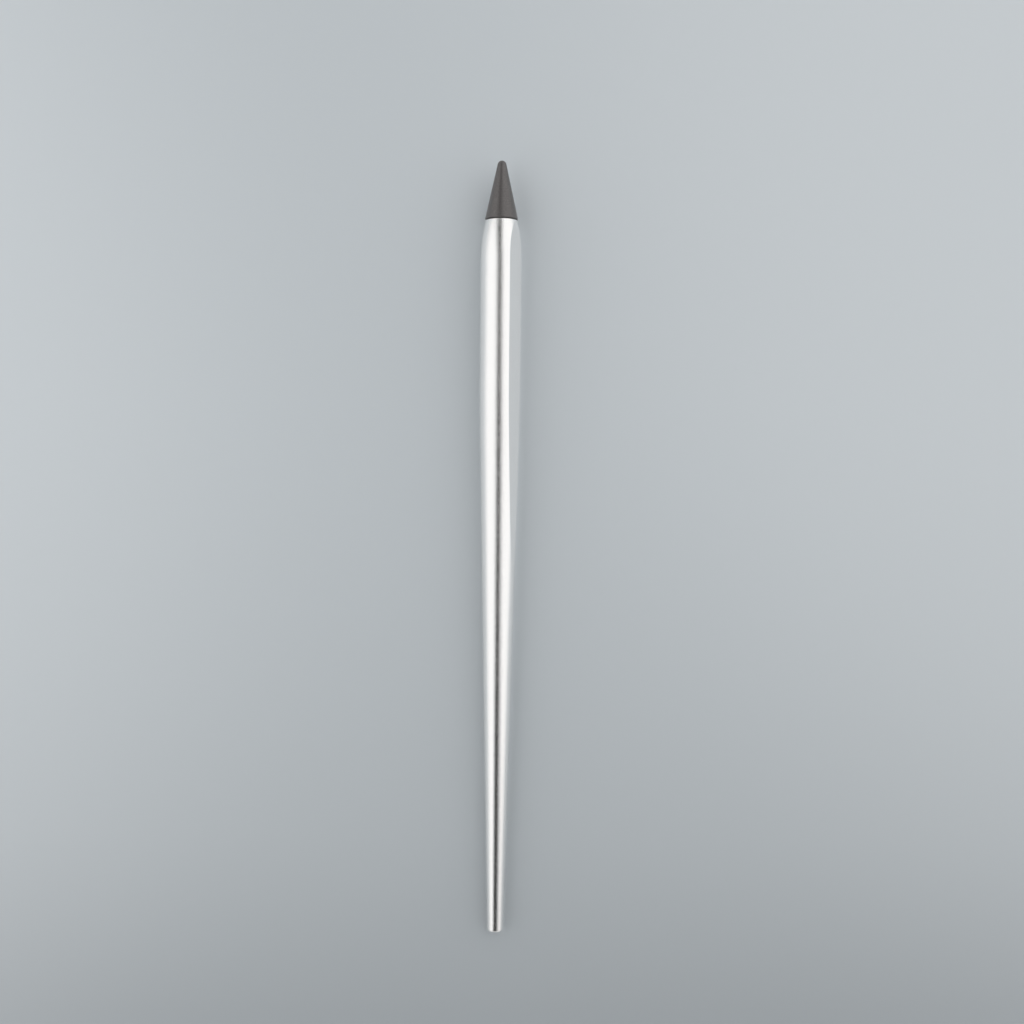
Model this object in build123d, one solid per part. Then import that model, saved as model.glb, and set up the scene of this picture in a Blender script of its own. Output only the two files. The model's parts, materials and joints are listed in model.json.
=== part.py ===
from build123d import *
from math import asin, atan2, cos, hypot, radians, sin, tan
import os

# An inkless metal pencil: a tapered aluminium barrel with a milled grip flat and a screw-in graphite nib.
# Every piece is turned about the pencil's own axis, which runs along Y here. The barrel's mouth, where the
# nib screws in, is at y = 0, the nib points to +Y and the barrel runs back to -Y. laid_down() then sets the
# finished pieces on their grip, with the middle of the pencil over the origin. All sizes are in millimetres.

# Barrel, from its mouth back to its rear end
BARREL_LENGTH = 146.0
MOUTH_RIM = 0.5  # wall left round the ring's seat
MOUTH_CHAMFER = 0.2
SHOULDER_LENGTH = 7.8  # the swelling from the mouth to the full grip
GRIP_DIAMETER = 8.34
GRIP_LENGTH = 23.5  # the cylindrical stretch behind the shoulder
BLEND_LENGTH = 12.0  # the arc from the grip into the straight taper, half of it on each side of their corner
END_DIAMETER = 3.25
END_ROUND = 0.4

# Flat milled along the grip, parallel to the axis
FLAT_RUNOUT = 0.1  # how far outside the mouth its plane passes
FLAT_MARGIN = 3.7  # taper behind the flat's rear tip that is still drawn as a spline
FLAT_ANGLE = 27.6  # degrees from +X up to its outward normal, as the pencil lies

# Nib: a cone that ends in a ball tip
NIB_LENGTH = 12.0
NIB_OVERHANG = 0.15  # how far its base stands out past the barrel's mouth
NIB_BASE_CHAMFER = 0.12
NIB_TIP_RADIUS = 0.92
NIB_GAP = 0.05  # the ring holds the nib's base this far off the barrel's mouth

# Stud: threaded into the barrel at one end, bonded into the nib at the other
THREAD_DIAMETER = 4.0
THREAD_CHAMFER = 0.4
STUD_REACH = 7.5  # how deep it goes into the barrel
NECK_UNDERCUT = 0.1  # the plain neck's radius is this much less than the thread's
NECK_RELIEF = 0.5  # length of neck between the ring's seat and the thread
SHANK_STEP = 0.4  # shoulder between the neck and the shank, seated on the nib's base
SHANK_LENGTH = 5.5
SHANK_CHAMFER = 0.3
BOND_GAP = 0.03  # adhesive round the shank
BOND_WELL = 0.3  # spare depth past the shank

# Ring: a rubber O-ring as it is squeezed in its seat
RING_WIDTH = 0.79
RING_BULGE = 0.17  # how far the squeeze makes its sides stand out
RING_CLEARANCE = 0.03  # from the neck inside it and from the seat's wall round it
SEAT_DEPTH = 0.7

# Tapped hole in the barrel
THREAD_CLEARANCE = 0.05
HOLE_SPARE_DEPTH = 1.5  # past the end of the stud
HOLE_LEAD = 0.1  # countersink where the thread starts
DRILL_POINT = 118.0  # degrees, the full angle of a drilled hole's bottom

# Radii that follow from one another, from the thread outwards
THREAD_RADIUS = THREAD_DIAMETER / 2
HOLE_RADIUS = THREAD_RADIUS + THREAD_CLEARANCE
NECK_RADIUS = THREAD_RADIUS - NECK_UNDERCUT
SHANK_RADIUS = NECK_RADIUS - SHANK_STEP
RING_INNER_RADIUS = NECK_RADIUS + RING_CLEARANCE
RING_OUTER_RADIUS = RING_INNER_RADIUS + RING_WIDTH
SEAT_RADIUS = RING_OUTER_RADIUS + RING_CLEARANCE
MOUTH_RADIUS = SEAT_RADIUS + MOUTH_RIM
NIB_BASE_RADIUS = MOUTH_RADIUS + NIB_OVERHANG
FLAT_DISTANCE = MOUTH_RADIUS + FLAT_RUNOUT
GRIP_RADIUS = GRIP_DIAMETER / 2
END_RADIUS = END_DIAMETER / 2


def turned(outline):
    """The solid that a closed outline of radius and y sweeps about the pencil's axis."""
    return revolve(make_face(outline), Axis.Y)


def drill_depth(radius):
    """How much deeper a drilled hole of this radius goes at its middle than at its wall."""
    return radius / tan(radians(DRILL_POINT / 2))


def barrel_blank():
    """The barrel before any cutting: shoulder arc, cylindrical grip, blend arc and straight taper."""
    rim = Vector(MOUTH_RADIUS, -MOUTH_CHAMFER)
    grip_front = Vector(GRIP_RADIUS, -SHOULDER_LENGTH)
    grip_back = grip_front - Vector(0, GRIP_LENGTH)
    corner = grip_back - Vector(0, BLEND_LENGTH / 2)
    rear = Vector(END_RADIUS, -BARREL_LENGTH)
    taper = rear - corner
    taper_front = corner + taper.normalized() * (BLEND_LENGTH / 2)
    flat_tip = corner + taper * ((GRIP_RADIUS - FLAT_DISTANCE) / (GRIP_RADIUS - END_RADIUS))
    behind_flat = flat_tip + taper.normalized() * FLAT_MARGIN

    outline = [
        Polyline((0, -BARREL_LENGTH), (0, 0), (MOUTH_RADIUS - MOUTH_CHAMFER, 0), rim),
        TangentArc(grip_front, rim, tangent=(0, 1)),
        Line(grip_front, grip_back),
        TangentArc(grip_back, taper_front, tangent=(0, -1)),
        Bezier(taper_front, behind_flat),
        Polyline(behind_flat, rear, (0, -BARREL_LENGTH)),
    ]
    blank = turned(outline)
    rear_edge = blank.edges().sort_by(Axis.Y)[0]
    return fillet(rear_edge, END_ROUND)


def nib_socket():
    """The room cut into the barrel's mouth: the ring's seat, then the tapped hole with its drilled bottom."""
    hole_depth = STUD_REACH + HOLE_SPARE_DEPTH
    outline = Polyline(
        (0, SEAT_DEPTH),
        (SEAT_RADIUS, SEAT_DEPTH),
        (SEAT_RADIUS, -SEAT_DEPTH),
        (HOLE_RADIUS + HOLE_LEAD, -SEAT_DEPTH),
        (HOLE_RADIUS, -SEAT_DEPTH - HOLE_LEAD),
        (HOLE_RADIUS, -hole_depth),
        (0, -hole_depth - drill_depth(HOLE_RADIUS)),
        close=True,
    )
    return turned(outline)


def barrel():
    """The turned blank with the nib's socket bored out and the grip flat milled off its -X side."""
    flat = Plane(origin=(-FLAT_DISTANCE, 0, 0), z_dir=(-1, 0, 0))
    return split(barrel_blank() - nib_socket(), flat, keep=Keep.BOTTOM)


def nib_cone():
    """The writing nib: a cone tangent to its ball tip, with a blind hole for the stud in its base."""
    ball = NIB_LENGTH - NIB_TIP_RADIUS
    slope = atan2(NIB_BASE_RADIUS, ball) - asin(NIB_TIP_RADIUS / hypot(NIB_BASE_RADIUS, ball))
    tangent_point = (NIB_TIP_RADIUS * cos(slope), ball + NIB_TIP_RADIUS * sin(slope))
    base_corner = (NIB_BASE_RADIUS - NIB_BASE_CHAMFER * tan(slope), NIB_BASE_CHAMFER)
    well_radius = SHANK_RADIUS + BOND_GAP
    well_depth = SHANK_LENGTH + BOND_WELL

    outline = [
        Polyline(
            tangent_point,
            base_corner,
            (NIB_BASE_RADIUS - NIB_BASE_CHAMFER, 0),
            (well_radius, 0),
            (well_radius, well_depth),
            (0, well_depth + drill_depth(well_radius)),
            (0, NIB_LENGTH),
        ),
        RadiusArc((0, NIB_LENGTH), tangent_point, NIB_TIP_RADIUS),
    ]
    return Pos(0, NIB_GAP, 0) * turned(outline)


def nib_stud():
    """The stud: shank in the nib, plain neck through the ring, and the thread's outside in the barrel."""
    thread_start = SEAT_DEPTH + NECK_RELIEF
    outline = Polyline(
        (0, NIB_GAP + SHANK_LENGTH),
        (SHANK_RADIUS - SHANK_CHAMFER, NIB_GAP + SHANK_LENGTH),
        (SHANK_RADIUS, NIB_GAP + SHANK_LENGTH - SHANK_CHAMFER),
        (SHANK_RADIUS, NIB_GAP),
        (NECK_RADIUS, NIB_GAP),
        (NECK_RADIUS, -thread_start),
        (THREAD_RADIUS, -thread_start),
        (THREAD_RADIUS, -STUD_REACH + THREAD_CHAMFER),
        (THREAD_RADIUS - THREAD_CHAMFER, -STUD_REACH),
        (0, -STUD_REACH),
        close=True,
    )
    return turned(outline)


def nib_o_ring():
    """The rubber ring, squeezed flat between the floor of its seat and the nib's base, with bulging sides."""
    inside = RING_INNER_RADIUS + RING_BULGE
    outside = RING_OUTER_RADIUS - RING_BULGE
    middle = (NIB_GAP - SEAT_DEPTH) / 2
    outline = [
        Line((inside, NIB_GAP), (outside, NIB_GAP)),
        ThreePointArc((outside, NIB_GAP), (RING_OUTER_RADIUS, middle), (outside, -SEAT_DEPTH)),
        Line((outside, -SEAT_DEPTH), (inside, -SEAT_DEPTH)),
        ThreePointArc((inside, -SEAT_DEPTH), (RING_INNER_RADIUS, middle), (inside, NIB_GAP)),
    ]
    return turned(outline)


def laid_down(piece):
    """The piece where it lies: rolled so that the flat looks up and to +X, resting on the grip's underside."""
    mouth = (BARREL_LENGTH - NIB_GAP - NIB_LENGTH) / 2
    return Pos(0, mouth, GRIP_RADIUS) * Rot(0, 180 - FLAT_ANGLE, 0) * piece


os.makedirs("parts", exist_ok=True)
for make in (barrel, nib_cone, nib_stud, nib_o_ring):
    export_step(laid_down(make()), f"parts/{make.__name__}.step")
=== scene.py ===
# %% [markdown]
# # An inkless metal pencil
# A turned aluminium barrel, bead blasted and clear anodised, with one flat milled along its grip, carries a
# dark graphite nib that screws into its mouth. Nothing on the pencil is soft, and all of it was made on a
# lathe, so each piece here is a profile turned about one axis, with a small change where a mill or a die has
# cut it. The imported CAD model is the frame: it says where each piece is, and every piece made below takes the
# place of one of its nodes.

# %% Load the frame
import bpy
import json
import numpy as np
from mathutils import Matrix, Vector


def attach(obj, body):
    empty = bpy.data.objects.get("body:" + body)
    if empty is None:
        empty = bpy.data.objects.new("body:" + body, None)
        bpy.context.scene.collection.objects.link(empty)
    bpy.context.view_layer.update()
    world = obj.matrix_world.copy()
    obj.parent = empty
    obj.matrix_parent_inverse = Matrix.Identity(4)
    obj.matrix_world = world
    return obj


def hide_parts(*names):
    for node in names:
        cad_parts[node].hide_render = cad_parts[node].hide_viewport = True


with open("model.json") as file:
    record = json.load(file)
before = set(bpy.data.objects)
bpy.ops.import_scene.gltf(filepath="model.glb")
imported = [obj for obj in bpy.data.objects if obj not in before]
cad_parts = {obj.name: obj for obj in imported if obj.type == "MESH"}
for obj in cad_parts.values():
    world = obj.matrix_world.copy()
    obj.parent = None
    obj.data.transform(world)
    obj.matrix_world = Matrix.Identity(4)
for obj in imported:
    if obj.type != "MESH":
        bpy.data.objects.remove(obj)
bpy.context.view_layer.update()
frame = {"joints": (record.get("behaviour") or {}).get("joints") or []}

# %% [markdown]
# ## One axis for everything
# The nib's hinge lies on the pencil's axis, in the plane of the barrel's mouth, so its position is all that
# the shapes below need from the frame. Profiles are then drawn in millimetres, as a turner would: a radius,
# and a distance in front of the mouth (+) or behind it (-).

# %% Points round the pencil's axis
MM = 0.001
nib_hinge = next(joint for joint in frame["joints"] if joint["name"] == "nib_turn")
AXIS = np.array(nib_hinge["pos_m"])


def around_axis(radius, along, angle):
    """Points round the axis: x is radius times sin(angle), z is radius times cos(angle), and y runs along the axis."""
    radius, along, angle = np.broadcast_arrays(radius, along, angle)
    return AXIS + MM * np.stack([radius * np.sin(angle), along, radius * np.cos(angle)], axis=-1)


def softened(corners, soften, steps=4):
    """A path through corners, each inner one eased by a parabola from soften before the corner to soften past it."""
    corners = np.array(corners, float)
    before, at, after = corners[:-2], corners[1:-1], corners[2:]
    into = (at - before) / np.linalg.norm(at - before, axis=1, keepdims=True)
    out = (after - at) / np.linalg.norm(after - at, axis=1, keepdims=True)
    ease = np.broadcast_to(soften, len(at))[:, None]
    start, end = (at - into * ease)[:, None], (at + out * ease)[:, None]
    t = np.linspace(0, 1, steps)[None, :, None]
    bends = (1 - t) ** 2 * start + 2 * t * (1 - t) * at[:, None] + t**2 * end
    return np.vstack([corners[:1], bends.reshape(-1, 2), corners[-1:]])


print("axis at", np.round(AXIS / MM, 3).tolist(), "mm")

# %% [markdown]
# ## From rings of points to a closed skin
# A lathe profile could go through Blender's Screw modifier, but then the mill's flat and the threads would
# need Booleans, which leave ragged shading. Here each profile point becomes a ring of points instead, and a
# ring may be any closed curve. Quads join ring to ring, so that the mesh is one tidy grid, and where a ring has
# no width it closes to a pole. The signed volume tells which way the faces look, so they can be turned outwards.

# %% A skin over rings
SHARP_ANGLE = np.radians(32)


def skin(name, rings, loop=False, finish=None):
    """Rings, an array of ring by point by xyz, as a closed mesh: quads between neighbouring rings, and either the last
    ring joined to the first or a fan of triangles to a pole at each end. finish gives each ring's material number."""
    around = rings.shape[1]
    body = rings if loop else rings[1:-1]
    points = body.reshape(-1, 3)
    index = np.arange(len(points)).reshape(-1, around)
    rows = np.vstack([index, index[:1]]) if loop else index
    here, there = rows[:-1], rows[1:]
    quads = np.stack([here, np.roll(here, -1, 1), np.roll(there, -1, 1), there], axis=-1).reshape(-1, 4)
    fans = np.empty((0, 3), int)
    if not loop:
        first, last = len(points), len(points) + 1
        points = np.vstack([points, rings[0].mean(0), rings[-1].mean(0)])
        near, far = index[0], index[-1]
        fans = np.vstack([
            np.stack([np.full(around, first), np.roll(near, -1), near], axis=-1),
            np.stack([np.full(around, last), far, np.roll(far, -1)], axis=-1),
        ])
    triangles = np.vstack([quads[:, :3], quads[:, [0, 2, 3]], fans])
    a, b, c = (points[triangles[:, k]] for k in range(3))
    volume = np.einsum("ij,ij->", a, np.cross(b, c)) / 6
    turn = slice(None, None, -1) if volume < 0 else slice(None)
    mesh = bpy.data.meshes.new(name)
    mesh.from_pydata(points.tolist(), [], quads[:, turn].tolist() + fans[:, turn].tolist())
    if finish is not None:
        finish = np.asarray(finish)
        of_quads = np.repeat(finish[: len(here)] if loop else finish[1:-2], around)
        of_fans = np.repeat([finish[0], finish[-1]], around) if len(fans) else []
        mesh.polygons.foreach_set("material_index", np.concatenate([of_quads, of_fans]).astype(np.int32))
    mesh.polygons.foreach_set("use_smooth", np.ones(len(mesh.polygons), bool))
    mesh.set_sharp_from_angle(angle=SHARP_ANGLE)
    piece = bpy.data.objects.new(name, mesh)
    bpy.context.scene.collection.objects.link(piece)
    print(f"{name}: {len(triangles)} triangles, {abs(volume) / MM**3:.1f} cubic mm")
    return piece


# %% [markdown]
# ## The barrel's profile
# The bar was turned to a long dagger shape: the mouth is a little narrower than the nib, an arc swells to the
# cylindrical grip, a second, very flat arc lets the grip run into a straight taper, and the taper ends in a small
# flat with a rounded edge. Curves drawn by hand would do, but formulas for the two arcs keep the profile
# tangent, and a reflection that runs along the metal shows every break in it.

# %% The barrel's radius
BARREL_LENGTH = 146.0
MOUTH_RADIUS, GRIP_RADIUS, END_RADIUS = 3.25, 4.17, 1.625
MOUTH_CHAMFER, END_ROUND = 0.2, 0.4
SHOULDER_END, GRIP_END, CORNER = 7.8, 31.3, 37.3
TAPER = (GRIP_RADIUS - END_RADIUS) / (BARREL_LENGTH - CORNER)
TAPER_FRONT = CORNER + (CORNER - GRIP_END) * np.cos(np.arctan(TAPER))


def barrel_radius(behind):
    """Radius at a distance behind the mouth. An arc of radius p that leaves the grip at g has the radius
    GRIP_RADIUS - p + sqrt(p^2 - (distance from g)^2); in front of it and behind it are the grip and the taper."""
    drop = GRIP_RADIUS - MOUTH_RADIUS
    run = SHOULDER_END - MOUTH_CHAMFER
    shoulder_arc = (run**2 + drop**2) / (2 * drop)
    blend_arc = (CORNER - GRIP_END) / np.tan(np.arctan(TAPER) / 2)
    from_shoulder = np.clip(SHOULDER_END - behind, 0, run)
    from_grip = np.clip(behind - GRIP_END, 0, TAPER_FRONT - GRIP_END)
    shoulder = GRIP_RADIUS - shoulder_arc + np.sqrt(shoulder_arc**2 - from_shoulder**2)
    blend = GRIP_RADIUS - blend_arc + np.sqrt(blend_arc**2 - from_grip**2)
    taper = GRIP_RADIUS - TAPER * (behind - CORNER)
    return np.where(behind < SHOULDER_END, shoulder, np.where(behind < TAPER_FRONT, blend, taper))


stations = np.array([MOUTH_CHAMFER, 4, 20, 60, 140])
print("radius at", stations.tolist(), "mm:", np.round(barrel_radius(stations), 3).tolist())

# %% [markdown]
# ## The milled flat
# One flat is milled along the grip, parallel to the axis. It runs out by itself at both ends, where the barrel gets
# thinner than the cutter's height. A knife cut with a Boolean would leave a razor edge, but blasting has eased the
# real one, so the flat is worked into the rings: across the flat a ring follows the plane, elsewhere the circle,
# and a high power mean of the two rounds the edge by a few hundredths of a millimetre. The points of a ring
# crowd together at the two edges of the flat and follow them as they draw together.

# %% Rings with a flat
FLAT_DISTANCE = 3.35
FLAT_TURN = np.radians(90 - 27.6)
EDGE_POWER = 220
LEAST_HALF_ANGLE = np.radians(4)
FLAT_STEPS, BACK_STEPS = 6, 49


def flat_half_angle(radius):
    """Half the angle that the flat takes of a ring, acos(distance / radius), and never less than four degrees."""
    return np.maximum(np.arccos(FLAT_DISTANCE / np.maximum(radius, FLAT_DISTANCE)), LEAST_HALF_ANGLE)


def ring_angles(half):
    """Angles of a ring's points from the middle of the flat, for a column of half angles: even steps across the flat,
    close ones at its edge and even ones round the rest, mirrored to the other side."""
    half = np.atleast_1d(half)[:, None]
    edge = np.radians([-1.5, -0.8, -0.4, -0.15, 0, 0.15, 0.4, 0.8, 1.5])
    across = (half + edge[0]) * np.linspace(0, 1, FLAT_STEPS)[:-1]
    back = half + edge[-1] + (np.pi - half - edge[-1]) * np.linspace(0, 1, BACK_STEPS)[1:]
    side = np.hstack([across, half + edge, back])
    return np.hstack([side, 2 * np.pi - side[:, -2:0:-1]])


def with_flat(radius, angle):
    """The nearer of circle and plane: radius times (1 + (radius cos(angle) / distance)^n)^(-1/n), with a high n."""
    reach = np.maximum(radius * np.cos(angle), 0) / FLAT_DISTANCE
    return radius * (1 + reach**EDGE_POWER) ** (-1 / EDGE_POWER)


flat_tip = CORNER + (GRIP_RADIUS - FLAT_DISTANCE) / TAPER
flat_width = 2 * np.sqrt(GRIP_RADIUS**2 - FLAT_DISTANCE**2)
print(f"the flat runs out {flat_tip:.2f} mm behind the mouth, and is {flat_width:.2f} mm wide")

# %% [markdown]
# ## The screw thread
# The nib has a metal stud with an M4 thread, 0.7 mm a turn, and the barrel is tapped to match. A helix swept by a
# modifier would have to be joined to the plain ends, so the thread is a radius that depends on the angle as
# well: walking round the axis shifts the ridge along it by one pitch a turn. Stud and hole use the same
# formula, with a little play between them, and so they stay in mesh while the nib is unscrewed.

# %% The thread as a radius
PITCH = 0.7
CREST, ROOT = 2.0, 1.571
PLAY = 0.06


def thread_radius(along, angle):
    """Radius of a right-hand thread: the distance to the nearest ridge is found along the axis, and the flanks fall
    from the crest, a sixteenth of a pitch wide on each side, at 30 degrees to a plane across the axis."""
    turns = along / PITCH - angle / (2 * np.pi)
    off = np.abs(turns - np.round(turns)) * PITCH
    return np.clip(CREST - (off - PITCH / 16) / np.tan(np.radians(30)), ROOT, CREST)


print(f"thread {CREST - ROOT:.3f} mm deep, {PITCH} mm a turn")

# %% [markdown]
# ## The barrel from end to end
# One grid covers the whole barrel, from a pole in the middle of its rear end, along the outside, over the rim and
# down the socket to a pole at the bottom of the drilled hole. Modifiers would have to bevel each edge alone, so the
# easing is in the profile. Its points are close together where the flat runs out, at an eased edge and in the thread.

# %% Points along the barrel
SEAT_RADIUS, SEAT_DEPTH = 2.75, 0.7
HOLE_RADIUS, HOLE_DEPTH, HOLE_LEAD = 2.05, 9.0, 0.1
TAP_START, TAP_SPARE, TAP_FADE = 1.0, 0.6, 0.5  # thread: behind the mouth, before the bottom, fading in and out
DRILL_HALF_ANGLE = np.radians(59)
EDGE_EASE = 0.03
EASED_STEPS = 4
FLAT_FRONT, RUNOUT = 0.6, 4.0  # the flat's front end, and a stretch of close rings behind its rear tip
even = np.linspace(0, 1, 40)
behind = np.concatenate([
    np.linspace(BARREL_LENGTH - END_ROUND, flat_tip + RUNOUT + 0.2, 24),
    flat_tip + RUNOUT * even[::-4] ** 2,
    flat_tip - (flat_tip - TAPER_FRONT) * even[1:] ** 2,
    np.linspace(TAPER_FRONT, GRIP_END, 12)[1:],
    np.linspace(GRIP_END, SHOULDER_END, 10)[1:],
    FLAT_FRONT + (SHOULDER_END - FLAT_FRONT) * even[-2::-1] ** 1.5,
    [0.5, 0.4, 0.3],
])
outside = np.stack([barrel_radius(behind), -behind], axis=-1)
rear_end = softened([(0, -BARREL_LENGTH), (END_RADIUS, -BARREL_LENGTH), outside[0]], END_ROUND, 9)[:-1]
rim = softened([
    outside[-1], (MOUTH_RADIUS, -MOUTH_CHAMFER), (MOUTH_RADIUS - MOUTH_CHAMFER, 0), (SEAT_RADIUS, 0),
    (SEAT_RADIUS, -SEAT_DEPTH), (HOLE_RADIUS + HOLE_LEAD, -SEAT_DEPTH), (HOLE_RADIUS, -SEAT_DEPTH - HOLE_LEAD),
    (HOLE_RADIUS, -TAP_START),
], EDGE_EASE, EASED_STEPS)[1:]
tapped = -np.arange(TAP_START + 0.02, HOLE_DEPTH, 0.04)
drill_tip = HOLE_DEPTH + HOLE_RADIUS / np.tan(DRILL_HALF_ANGLE)

profile = np.vstack([
    rear_end, outside, rim,
    np.stack([np.full(len(tapped), HOLE_RADIUS), tapped], axis=-1),
    [(HOLE_RADIUS, -HOLE_DEPTH), (0, -drill_tip)],
])
print(f"{len(profile)} points along the barrel, and a hole {drill_tip:.2f} mm deep at its tip")

# %% [markdown]
# ## The barrel
# Each point of the profile now becomes a ring. On the outside the flat takes a part of the ring away, and in the
# tapped stretch of the hole the thread stands in from the wall, fading in and out as the tap leaves it. The socket
# was cut after blasting, so its rings get a second finish.

# %% Barrel rings
radius, along = profile[:, :1], profile[:, 1:]
from_flat = ring_angles(flat_half_angle(radius[:, 0]))
angle = FLAT_TURN - from_flat
rim_start = len(rear_end) + len(outside)
is_outside = np.arange(len(profile))[:, None] < rim_start
cut = np.clip(np.minimum(-along - TAP_START, HOLE_DEPTH - TAP_SPARE + along) / TAP_FADE, 0, 1)
ridge = HOLE_RADIUS - np.minimum(thread_radius(along, angle) + PLAY, HOLE_RADIUS)
ring_radius = np.where(is_outside, with_flat(radius, from_flat), radius - cut * ridge)
in_socket = (np.arange(len(profile)) > rim_start + 2 * EASED_STEPS).astype(int)
barrel = skin("barrel_turned", around_axis(ring_radius, along, angle), finish=in_socket)
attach(barrel, "barrel")
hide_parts("barrel")

# %% [markdown]
# ## The nib
# The nib is a sharp cone of pressed graphite alloy that ends in a small ball, so that it doesn't scratch the paper. A
# cone with a sphere on it would show a seam; here the cone is tangent to the ball, which fixes its slope. The base
# has an eased edge that stands out a little over the barrel's mouth, and a blind hole for the stud.

# %% Nib rings
NIB_LENGTH, NIB_BASE, NIB_CHAMFER, TIP_RADIUS, NIB_GAP = 12.0, 3.4, 0.12, 0.92, 0.05
WELL_RADIUS, WELL_DEPTH = 1.53, 5.8
ball = NIB_LENGTH - TIP_RADIUS
slope = np.arctan2(NIB_BASE, ball) - np.arcsin(TIP_RADIUS / np.hypot(NIB_BASE, ball))
lean = np.linspace(np.pi / 2, slope, 16)
tip = np.stack([TIP_RADIUS * np.cos(lean), ball + TIP_RADIUS * np.sin(lean)], axis=-1)
base_corner = np.array([NIB_BASE - NIB_CHAMFER * np.tan(slope), NIB_CHAMFER])
cone = tip[-1] + (base_corner - tip[-1]) * np.linspace(0, 0.97, 24)[1:, None]
base = softened([
    cone[-1], base_corner, (NIB_BASE - NIB_CHAMFER, 0), (WELL_RADIUS, 0), (WELL_RADIUS, WELL_DEPTH),
    (0, WELL_DEPTH + WELL_RADIUS / np.tan(DRILL_HALF_ANGLE)),
], EDGE_EASE)[1:]
nib_profile = np.vstack([tip, cone, base])
even_turn = np.linspace(0, 2 * np.pi, 97)[:-1]
nib = skin("nib_graphite_cone", around_axis(nib_profile[:, :1], nib_profile[:, 1:] + NIB_GAP, even_turn))
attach(nib, "nib")
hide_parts("nib_cone")
print(f"the cone leans {np.degrees(slope):.2f} degrees")

# %% [markdown]
# ## The stud
# The stud is bonded into the nib and shows only when the nib is unscrewed: a plain neck that passes through the
# rubber ring, then the thread with a chamfered start. The chamfer simply cuts the thread's radius down, as the
# turner's tool does before the die runs over it, so the first ridge fades in as on a real screw.

# %% Stud rings
SHANK_RADIUS, SHANK_LENGTH, SHANK_CHAMFER, NECK_RADIUS = 1.5, 5.5, 0.3, 1.9
THREAD_START, STUD_REACH, THREAD_CHAMFER, DIE_RUN_IN = 1.2, 7.5, 0.4, 0.35
plain = softened([
    (0, NIB_GAP + SHANK_LENGTH), (SHANK_RADIUS - SHANK_CHAMFER, NIB_GAP + SHANK_LENGTH),
    (SHANK_RADIUS, NIB_GAP + SHANK_LENGTH - SHANK_CHAMFER), (SHANK_RADIUS, NIB_GAP), (NECK_RADIUS, NIB_GAP),
    (NECK_RADIUS, -THREAD_START),
], EDGE_EASE)
threaded = -np.arange(THREAD_START + 0.02, STUD_REACH, 0.035)
stud_profile = np.vstack([
    plain, np.stack([np.full(len(threaded), CREST), threaded], axis=-1),
    [(CREST - THREAD_CHAMFER, -STUD_REACH), (0, -STUD_REACH)],
])
stud_radius, stud_along = stud_profile[:, :1], stud_profile[:, 1:]
chamfer = CREST - THREAD_CHAMFER + (stud_along + STUD_REACH)
cut_by_die = np.clip((-stud_along - THREAD_START) / DIE_RUN_IN, 0, 1)
ridges = NECK_RADIUS + (thread_radius(stud_along, even_turn) - NECK_RADIUS) * cut_by_die
is_threaded = (np.arange(len(stud_profile)) >= len(plain)) & (stud_along[:, 0] > -STUD_REACH)
stud_radius = np.where(is_threaded[:, None], np.minimum(ridges, chamfer), stud_radius)
stud = skin("nib_stud_threaded", around_axis(stud_radius, stud_along, even_turn))
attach(stud, "nib")
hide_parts("nib_stud")

# %% [markdown]
# ## The rubber ring
# A thin O-ring sits under the nib's base and keeps it from working loose. Screwing the nib home squeezes it, so its
# section is no longer a circle: flat above and below, with bulging sides. A superellipse gives that squeezed section
# in one formula, and a ring of sections joined end to end needs no poles. Its top stays a hair below the nib's
# base, because the nib turns on it.

# %% Ring sections
RING_INNER, RING_OUTER = 1.93, 2.72
RING_TOP = NIB_GAP - 0.004
SQUARENESS = 2 / 3.4
section = np.linspace(0, 2 * np.pi, 49)[:-1]
across = np.sign(np.cos(section)) * np.abs(np.cos(section)) ** SQUARENESS
upright = np.sign(np.sin(section)) * np.abs(np.sin(section)) ** SQUARENESS
ring_r = (RING_INNER + RING_OUTER) / 2 + (RING_OUTER - RING_INNER) / 2 * across
ring_y = (RING_TOP - SEAT_DEPTH) / 2 + (RING_TOP + SEAT_DEPTH) / 2 * upright
ring = skin("rubber_o_ring", around_axis(ring_r[:, None], ring_y[:, None], even_turn), loop=True)
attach(ring, "ring")
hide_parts("nib_o_ring")

# %% [markdown]
# ## Finishes, and how they are built
# Each finish is a Principled shader with a little noise in it. Noise reads Object coordinates in metres, so a grain of
# a tenth of a millimetre needs a scale of about ten thousand. Values that are the same all over are set on the
# shader itself, and only what really varies, such as roughness, is linked.

# %% Small helpers for finishes
def new_finish(name, colour, metallic, roughness):
    """An empty Principled finish with its three main values."""
    finish = bpy.data.materials.new(name)
    finish.use_nodes = True
    shader = finish.node_tree.nodes["Principled BSDF"]
    shader.inputs["Base Color"].default_value = (*colour, 1)
    shader.inputs["Metallic"].default_value = metallic
    shader.inputs["Roughness"].default_value = roughness
    return finish, finish.node_tree, shader


def grain(tree, per_metre, detail=2.0, stretch=(1, 1, 1)):
    """Noise on Object coordinates, with about per_metre grains to the metre, drawn out where stretch is small."""
    place = tree.nodes.new("ShaderNodeTexCoord")
    mapping = tree.nodes.new("ShaderNodeMapping")
    mapping.inputs["Scale"].default_value = stretch
    noise = tree.nodes.new("ShaderNodeTexNoise")
    noise.inputs["Scale"].default_value = per_metre
    noise.inputs["Detail"].default_value = detail
    tree.links.new(place.outputs["Object"], mapping.inputs["Vector"])
    tree.links.new(mapping.outputs["Vector"], noise.inputs["Vector"])
    return noise.outputs["Fac"]


def ranged(tree, value, low, high):
    """The middle half of a noise's range, spread from low to high."""
    spread = tree.nodes.new("ShaderNodeMapRange")
    spread.inputs["From Min"].default_value = 0.3
    spread.inputs["From Max"].default_value = 0.7
    spread.inputs["To Min"].default_value = low
    spread.inputs["To Max"].default_value = high
    tree.links.new(value, spread.inputs["Value"])
    return spread.outputs["Result"]


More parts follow.
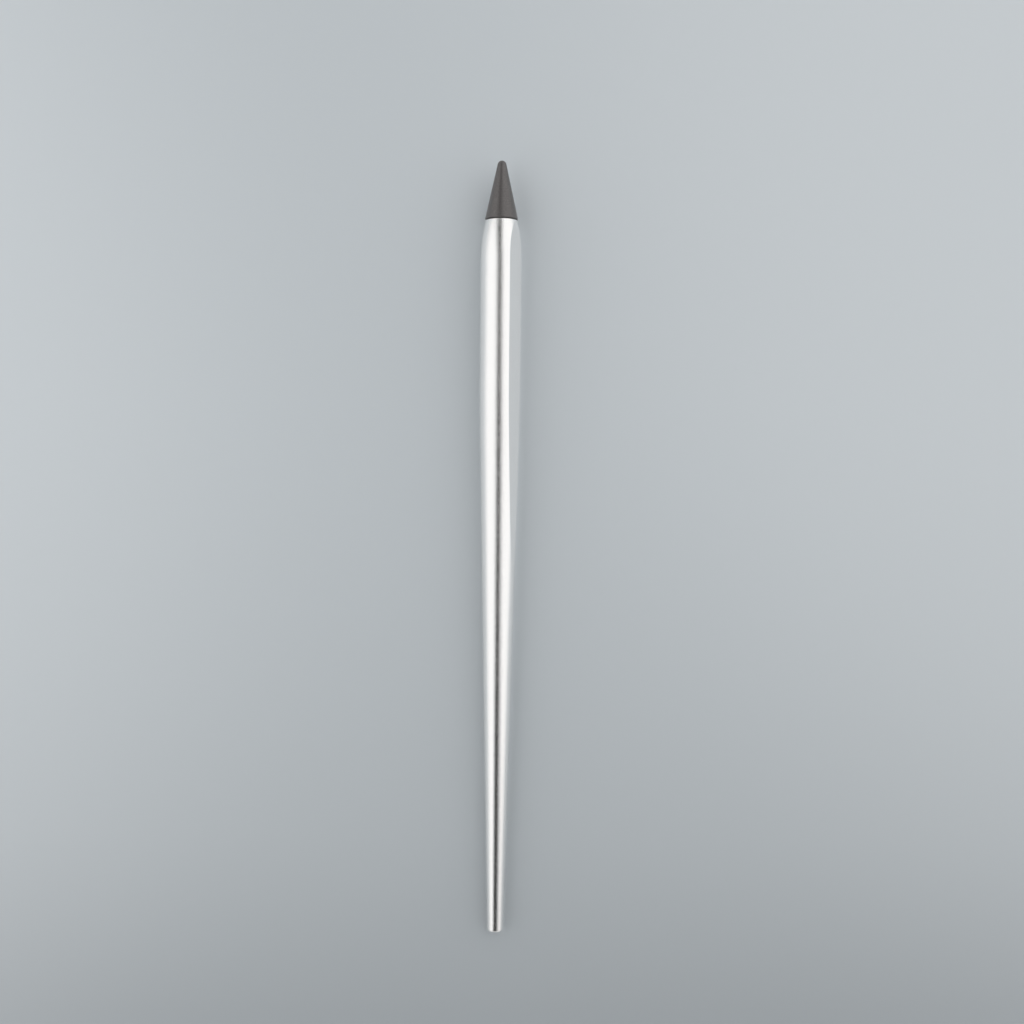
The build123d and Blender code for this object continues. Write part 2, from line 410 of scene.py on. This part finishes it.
def tinted(tree, value, dark, light, socket):
    """A colour between two, chosen by a noise's value, linked to a socket."""
    ramp = tree.nodes.new("ShaderNodeValToRGB")
    ramp.color_ramp.elements[0].position = 0.3
    ramp.color_ramp.elements[1].position = 0.7
    ramp.color_ramp.elements[0].color = (*dark, 1)
    ramp.color_ramp.elements[1].color = (*light, 1)
    tree.links.new(value, ramp.inputs["Fac"])
    tree.links.new(ramp.outputs["Color"], socket)


def raised(tree, shader, height, depth, strength=1.0, under=None):
    """A bump of depth metres from a height value, over another bump where one is given."""
    bump = tree.nodes.new("ShaderNodeBump")
    bump.inputs["Strength"].default_value = strength
    bump.inputs["Distance"].default_value = depth
    tree.links.new(height, bump.inputs["Height"])
    if under is not None:
        tree.links.new(under, bump.inputs["Normal"])
    tree.links.new(bump.outputs["Normal"], shader.inputs["Normal"])
    return bump.outputs["Normal"]


# %% [markdown]
# ## Blasted aluminium
# Glass beads leave a silky metal that is bright but holds no clear image: broad highlights with a fine sparkle at their
# edges. Roughness alone could blur the reflections, but its highlights have long tails, which would fill the
# barrel's dark line with grey. So the shader stays fairly smooth, and a bump of dents a sixth of a millimetre wide,
# with finer ones in them, leans the surface by a few degrees either way and spreads the light as the beads'
# marks do. The socket is freshly cut metal, smoother, with the tool's rings round the axis, so its noise is drawn
# out into bands across Y.

# %% Aluminium inside and out
blasted, tree, shader = new_finish("blasted_aluminium", (0.95, 0.942, 0.932), 1.0, 0.229)
tinted(tree, grain(tree, 9000), (0.93, 0.922, 0.912), (0.97, 0.962, 0.952), shader.inputs["Base Color"])
raised(tree, shader, grain(tree, 6000, 2.0), 3.3e-5)

machined, tree, shader = new_finish("machined_aluminium", (0.87, 0.87, 0.875), 1.0, 0.2)
tree.links.new(ranged(tree, grain(tree, 3000), 0.16, 0.28), shader.inputs["Roughness"])
raised(tree, shader, grain(tree, 9000, 1.0, (0.02, 1, 0.02)), 6e-6, 0.5)
barrel.data.materials.append(blasted)
barrel.data.materials.append(machined)
print("barrel finishes:", [m.name for m in barrel.data.materials])

# %% [markdown]
# ## Graphite alloy
# The nib is dark grey with a dull metallic sheen, like a pencil lead's side. It is half a metal to the shader, because
# graphite does conduct, and its highlight is grey instead of white. Rings from turning run round it, and a fine
# grain breaks up the sheen.

# %% Nib finish
graphite, tree, shader = new_finish("graphite_alloy", (0.147, 0.138, 0.135), 0.45, 0.32)
tinted(tree, grain(tree, 4200, 3.0), (0.118, 0.111, 0.108), (0.176, 0.165, 0.162), shader.inputs["Base Color"])
tree.links.new(ranged(tree, grain(tree, 900, 2.0), 0.3, 0.35), shader.inputs["Roughness"])
turned_rings = raised(tree, shader, grain(tree, 5200, 1.0, (0.03, 1, 0.03)), 8e-6, 0.6)
raised(tree, shader, grain(tree, 8000, 2.0), 1e-5, 0.35, turned_rings)
nib.data.materials.append(graphite)
print("nib finish:", graphite.name)

# %% [markdown]
# ## Brass and rubber
# The stud is turned brass: a warm metal with tool marks and a little tarnish in patches. The ring is black rubber, dull
# and slightly dusty. Both are hidden until the nib comes out, but they are what a reader sees in the open pose.

# %% Stud and ring finishes
brass, tree, shader = new_finish("turned_brass", (0.76, 0.56, 0.26), 1.0, 0.26)
tinted(tree, grain(tree, 700, 3.0), (0.64, 0.46, 0.21), (0.8, 0.6, 0.29), shader.inputs["Base Color"])
tree.links.new(ranged(tree, grain(tree, 1500), 0.2, 0.36), shader.inputs["Roughness"])
raised(tree, shader, grain(tree, 9000, 1.0, (0.02, 1, 0.02)), 5e-6, 0.5)
stud.data.materials.append(brass)

rubber, tree, shader = new_finish("black_rubber", (0.016, 0.016, 0.017), 0.0, 0.62)
tinted(tree, grain(tree, 2500, 3.0), (0.012, 0.012, 0.013), (0.026, 0.026, 0.027), shader.inputs["Base Color"])
tree.links.new(ranged(tree, grain(tree, 1800), 0.52, 0.72), shader.inputs["Roughness"])
raised(tree, shader, grain(tree, 7000, 2.0), 1e-5, 0.4)
ring.data.materials.append(rubber)
print("stud and ring finishes:", brass.name, rubber.name)

# %% [markdown]
# ## The table
# The frame holds the pencil with its axis level, but a tapered pencil really lies on the underside of its taper, with
# the nib a little up. The pencil stays where the frame has it, so here the table leans by the taper's own slope and
# touches the metal from behind the grip to the rear end. It is a round top of pale grey lacquer, and its satin
# sheen throws light back up at the flat.

# %% A leaning round table top
TABLE_RADIUS = 0.48
lean_back = np.arctan(TAPER)
UP = np.array([0, np.sin(lean_back), np.cos(lean_back)])
FORWARD = np.array([0, np.cos(lean_back), -np.sin(lean_back)])
SIDE = np.array([1.0, 0, 0])
touch = AXIS + MM * np.array([0, -CORNER, 0]) - np.array([0, 0, AXIS[2]])
out = np.linspace(0, TABLE_RADIUS, 24)[:, None]
turn = np.linspace(0, 2 * np.pi, 129)[None, :-1]
table_points = touch + (out * np.sin(turn))[..., None] * SIDE + (out * np.cos(turn))[..., None] * FORWARD
index = np.arange(out.size * turn.size).reshape(out.size, turn.size)
onward = np.roll(index, -1, 1)
table_quads = np.stack([index[:-1], onward[:-1], onward[1:], index[1:]], axis=-1)
table_mesh = bpy.data.meshes.new("table")
table_mesh.from_pydata(table_points.reshape(-1, 3).tolist(), [], table_quads.reshape(-1, 4).tolist())
table_mesh.polygons.foreach_set("use_smooth", np.ones(len(table_mesh.polygons), bool))
table = bpy.data.objects.new("table", table_mesh)
bpy.context.scene.collection.objects.link(table)
print(f"the table leans {np.degrees(lean_back):.3f} degrees")

# %% [markdown]
# ## Pale lacquer
# The table top is pale and a little blue. Its colour also carries painted shade: it darkens towards the pencil's rear
# end, where the room's light falls off.
# A lamp that fades there would change the metal as well, so the shade is painted into the lacquer as a smooth ramp
# between three greys along Y.
# A high index of refraction gives the sheen at low angles.

# %% Table finish
# Painted shade: the rear and middle greys darken the lacquer's own front grey where the light falls off.
PAINTED_SHADE_REAR_GREY, PAINTED_SHADE_MIDDLE_GREY, FRONT_GREY = (0.42, 0.456, 0.482), (0.643, 0.695, 0.728), (0.72, 0.777, 0.814)
SHADE_REAR, SHADE_FRONT = -0.12, 0.03
lacquer, tree, shader = new_finish("pale_table", FRONT_GREY, 0.0, 0.35)
shader.inputs["IOR"].default_value = 2.1
where = tree.nodes.new("ShaderNodeTexCoord")
split = tree.nodes.new("ShaderNodeSeparateXYZ")
reach = tree.nodes.new("ShaderNodeMapRange")
reach.inputs["From Min"].default_value = SHADE_REAR
reach.inputs["From Max"].default_value = SHADE_FRONT
# Painted shade along Y: the ramp runs from the darkest grey at the rear, through the middle grey, to the lacquer's own
# colour.
shade = tree.nodes.new("ShaderNodeValToRGB")
shade.color_ramp.interpolation = "B_SPLINE"
shade.color_ramp.elements[0].color = (*PAINTED_SHADE_REAR_GREY, 1)
shade.color_ramp.elements[1].color = (*FRONT_GREY, 1)
shade.color_ramp.elements.new(0.4).color = (*PAINTED_SHADE_MIDDLE_GREY, 1)
tree.links.new(where.outputs["Object"], split.inputs["Vector"])
tree.links.new(split.outputs["Y"], reach.inputs["Value"])
tree.links.new(reach.outputs["Result"], shade.inputs["Fac"])
tree.links.new(shade.outputs["Color"], shader.inputs["Base Color"])
table.data.materials.append(lacquer)
print("table finish:", lacquer.name)

# %% [markdown]
# ## Light
# Metal is drawn by what it reflects. Two large round softboxes lean over the table from the left and the right, and the
# dark ceiling between them gives the barrel its one dark line. The left one is small and near, the right one large,
# further off and further towards the nib. Area lights would add their light to the room's behind them, and the
# metal would burn out to white. A glowing mesh hides what is behind it, so that no reflection is brighter than the
# softbox itself. Both stay out of the camera's sight.

# %% Two softboxes
GLOW = 1.04


def softbox(name, centre, tilt, size, radiance):
    """A glowing ellipse: centre plus cos(turn) times half its width along a line tilted about the pencil's direction,
    plus sin(turn) times half its length along that direction. It hides the room behind it."""
    slant = np.array([np.cos(np.radians(tilt)), 0, -np.sin(np.radians(tilt))])
    turn = np.linspace(0, 2 * np.pi, 97)[:-1, None]
    edge = np.array(centre) + np.cos(turn) * size[0] / 2 * slant + np.sin(turn) * size[1] / 2 * np.array([0, 1, 0])
    face = bpy.data.meshes.new(name)
    face.from_pydata(edge.tolist(), [], [list(range(len(edge)))])
    glow = bpy.data.materials.new(name + "_glow")
    glow.use_nodes = True
    shader = glow.node_tree.nodes["Principled BSDF"]
    shader.inputs["Base Color"].default_value = (0, 0, 0, 1)
    shader.inputs["Specular IOR Level"].default_value = 0
    shader.inputs["Emission Color"].default_value = (1, 1, 1, 1)
    shader.inputs["Emission Strength"].default_value = radiance
    face.materials.append(glow)
    box = bpy.data.objects.new(name, face)
    box.visible_camera = False
    bpy.context.scene.collection.objects.link(box)
    print(f"{name}: from {edge[:, 2].min():.3f} to {edge[:, 2].max():.3f} m in height")
    return box


softbox("softbox_left", (-0.359, 0.041, 0.356), -66.7, (0.72, 0.786), GLOW)
softbox("softbox_right", (0.582, 0.635, 0.561), 59.25, (2.0, 1.938), GLOW)

# %% [markdown]
# ## The room
# The room is pale up to eye level and dark overhead. That soft light from all round keeps the pencil's shadow thin and
# its lower edges bright, and the dark ceiling is what shows between the softboxes. A world shader sees only
# directions, so a ramp on the upward part of the direction is enough.

# %% A room with a dark ceiling
WALLS, CEILING = (0.743, 0.743, 0.743), (0.018, 0.018, 0.018)
world = bpy.data.worlds.new("room")
bpy.context.scene.world = world
world.use_nodes = True
tree = world.node_tree
direction = tree.nodes.new("ShaderNodeTexCoord")
upward = tree.nodes.new("ShaderNodeSeparateXYZ")
height = tree.nodes.new("ShaderNodeValToRGB")
height.color_ramp.interpolation = "EASE"
wall, ceiling = height.color_ramp.elements
wall.position, wall.color = 0.494, (*WALLS, 1)
ceiling.position, ceiling.color = 0.847, (*CEILING, 1)
tree.links.new(direction.outputs["Generated"], upward.inputs["Vector"])
tree.links.new(upward.outputs["Z"], height.inputs["Fac"])
tree.links.new(height.outputs["Color"], tree.nodes["Background"].inputs["Color"])
print("room:", world.name)

# %% [markdown]
# ## Camera
# The picture looks straight down at the table through a normal lens, with the nib at the top and the pencil turned by
# half a degree. The camera's axes are written out from the table's own, so it looks along the table's normal.

# %% Straight down
TURN_IN_PICTURE = np.radians(0.54)
EYE_HEIGHT, AIM_FORWARD, AIM_SIDE = 0.2953, 0.0073, 0.0027
camera_data = bpy.data.cameras.new("camera")
camera_data.lens, camera_data.sensor_width = 50, 36
camera_data.clip_start, camera_data.clip_end = 0.01, 20
camera = bpy.data.objects.new("camera", camera_data)
bpy.context.scene.collection.objects.link(camera)
bpy.context.scene.camera = camera
picture_up = np.cos(TURN_IN_PICTURE) * FORWARD - np.sin(TURN_IN_PICTURE) * SIDE
picture_right = np.cos(TURN_IN_PICTURE) * SIDE + np.sin(TURN_IN_PICTURE) * FORWARD
below = touch + FORWARD * (AIM_FORWARD - touch[1]) + SIDE * AIM_SIDE
eye = below + UP * EYE_HEIGHT
axes = np.stack([picture_right, picture_up, UP], axis=-1)
camera.matrix_world = Matrix.Translation(Vector(eye)) @ Matrix(axes.tolist()).to_4x4()
bpy.context.scene.view_settings.view_transform = "Standard"
print("camera at", np.round(eye, 4).tolist())
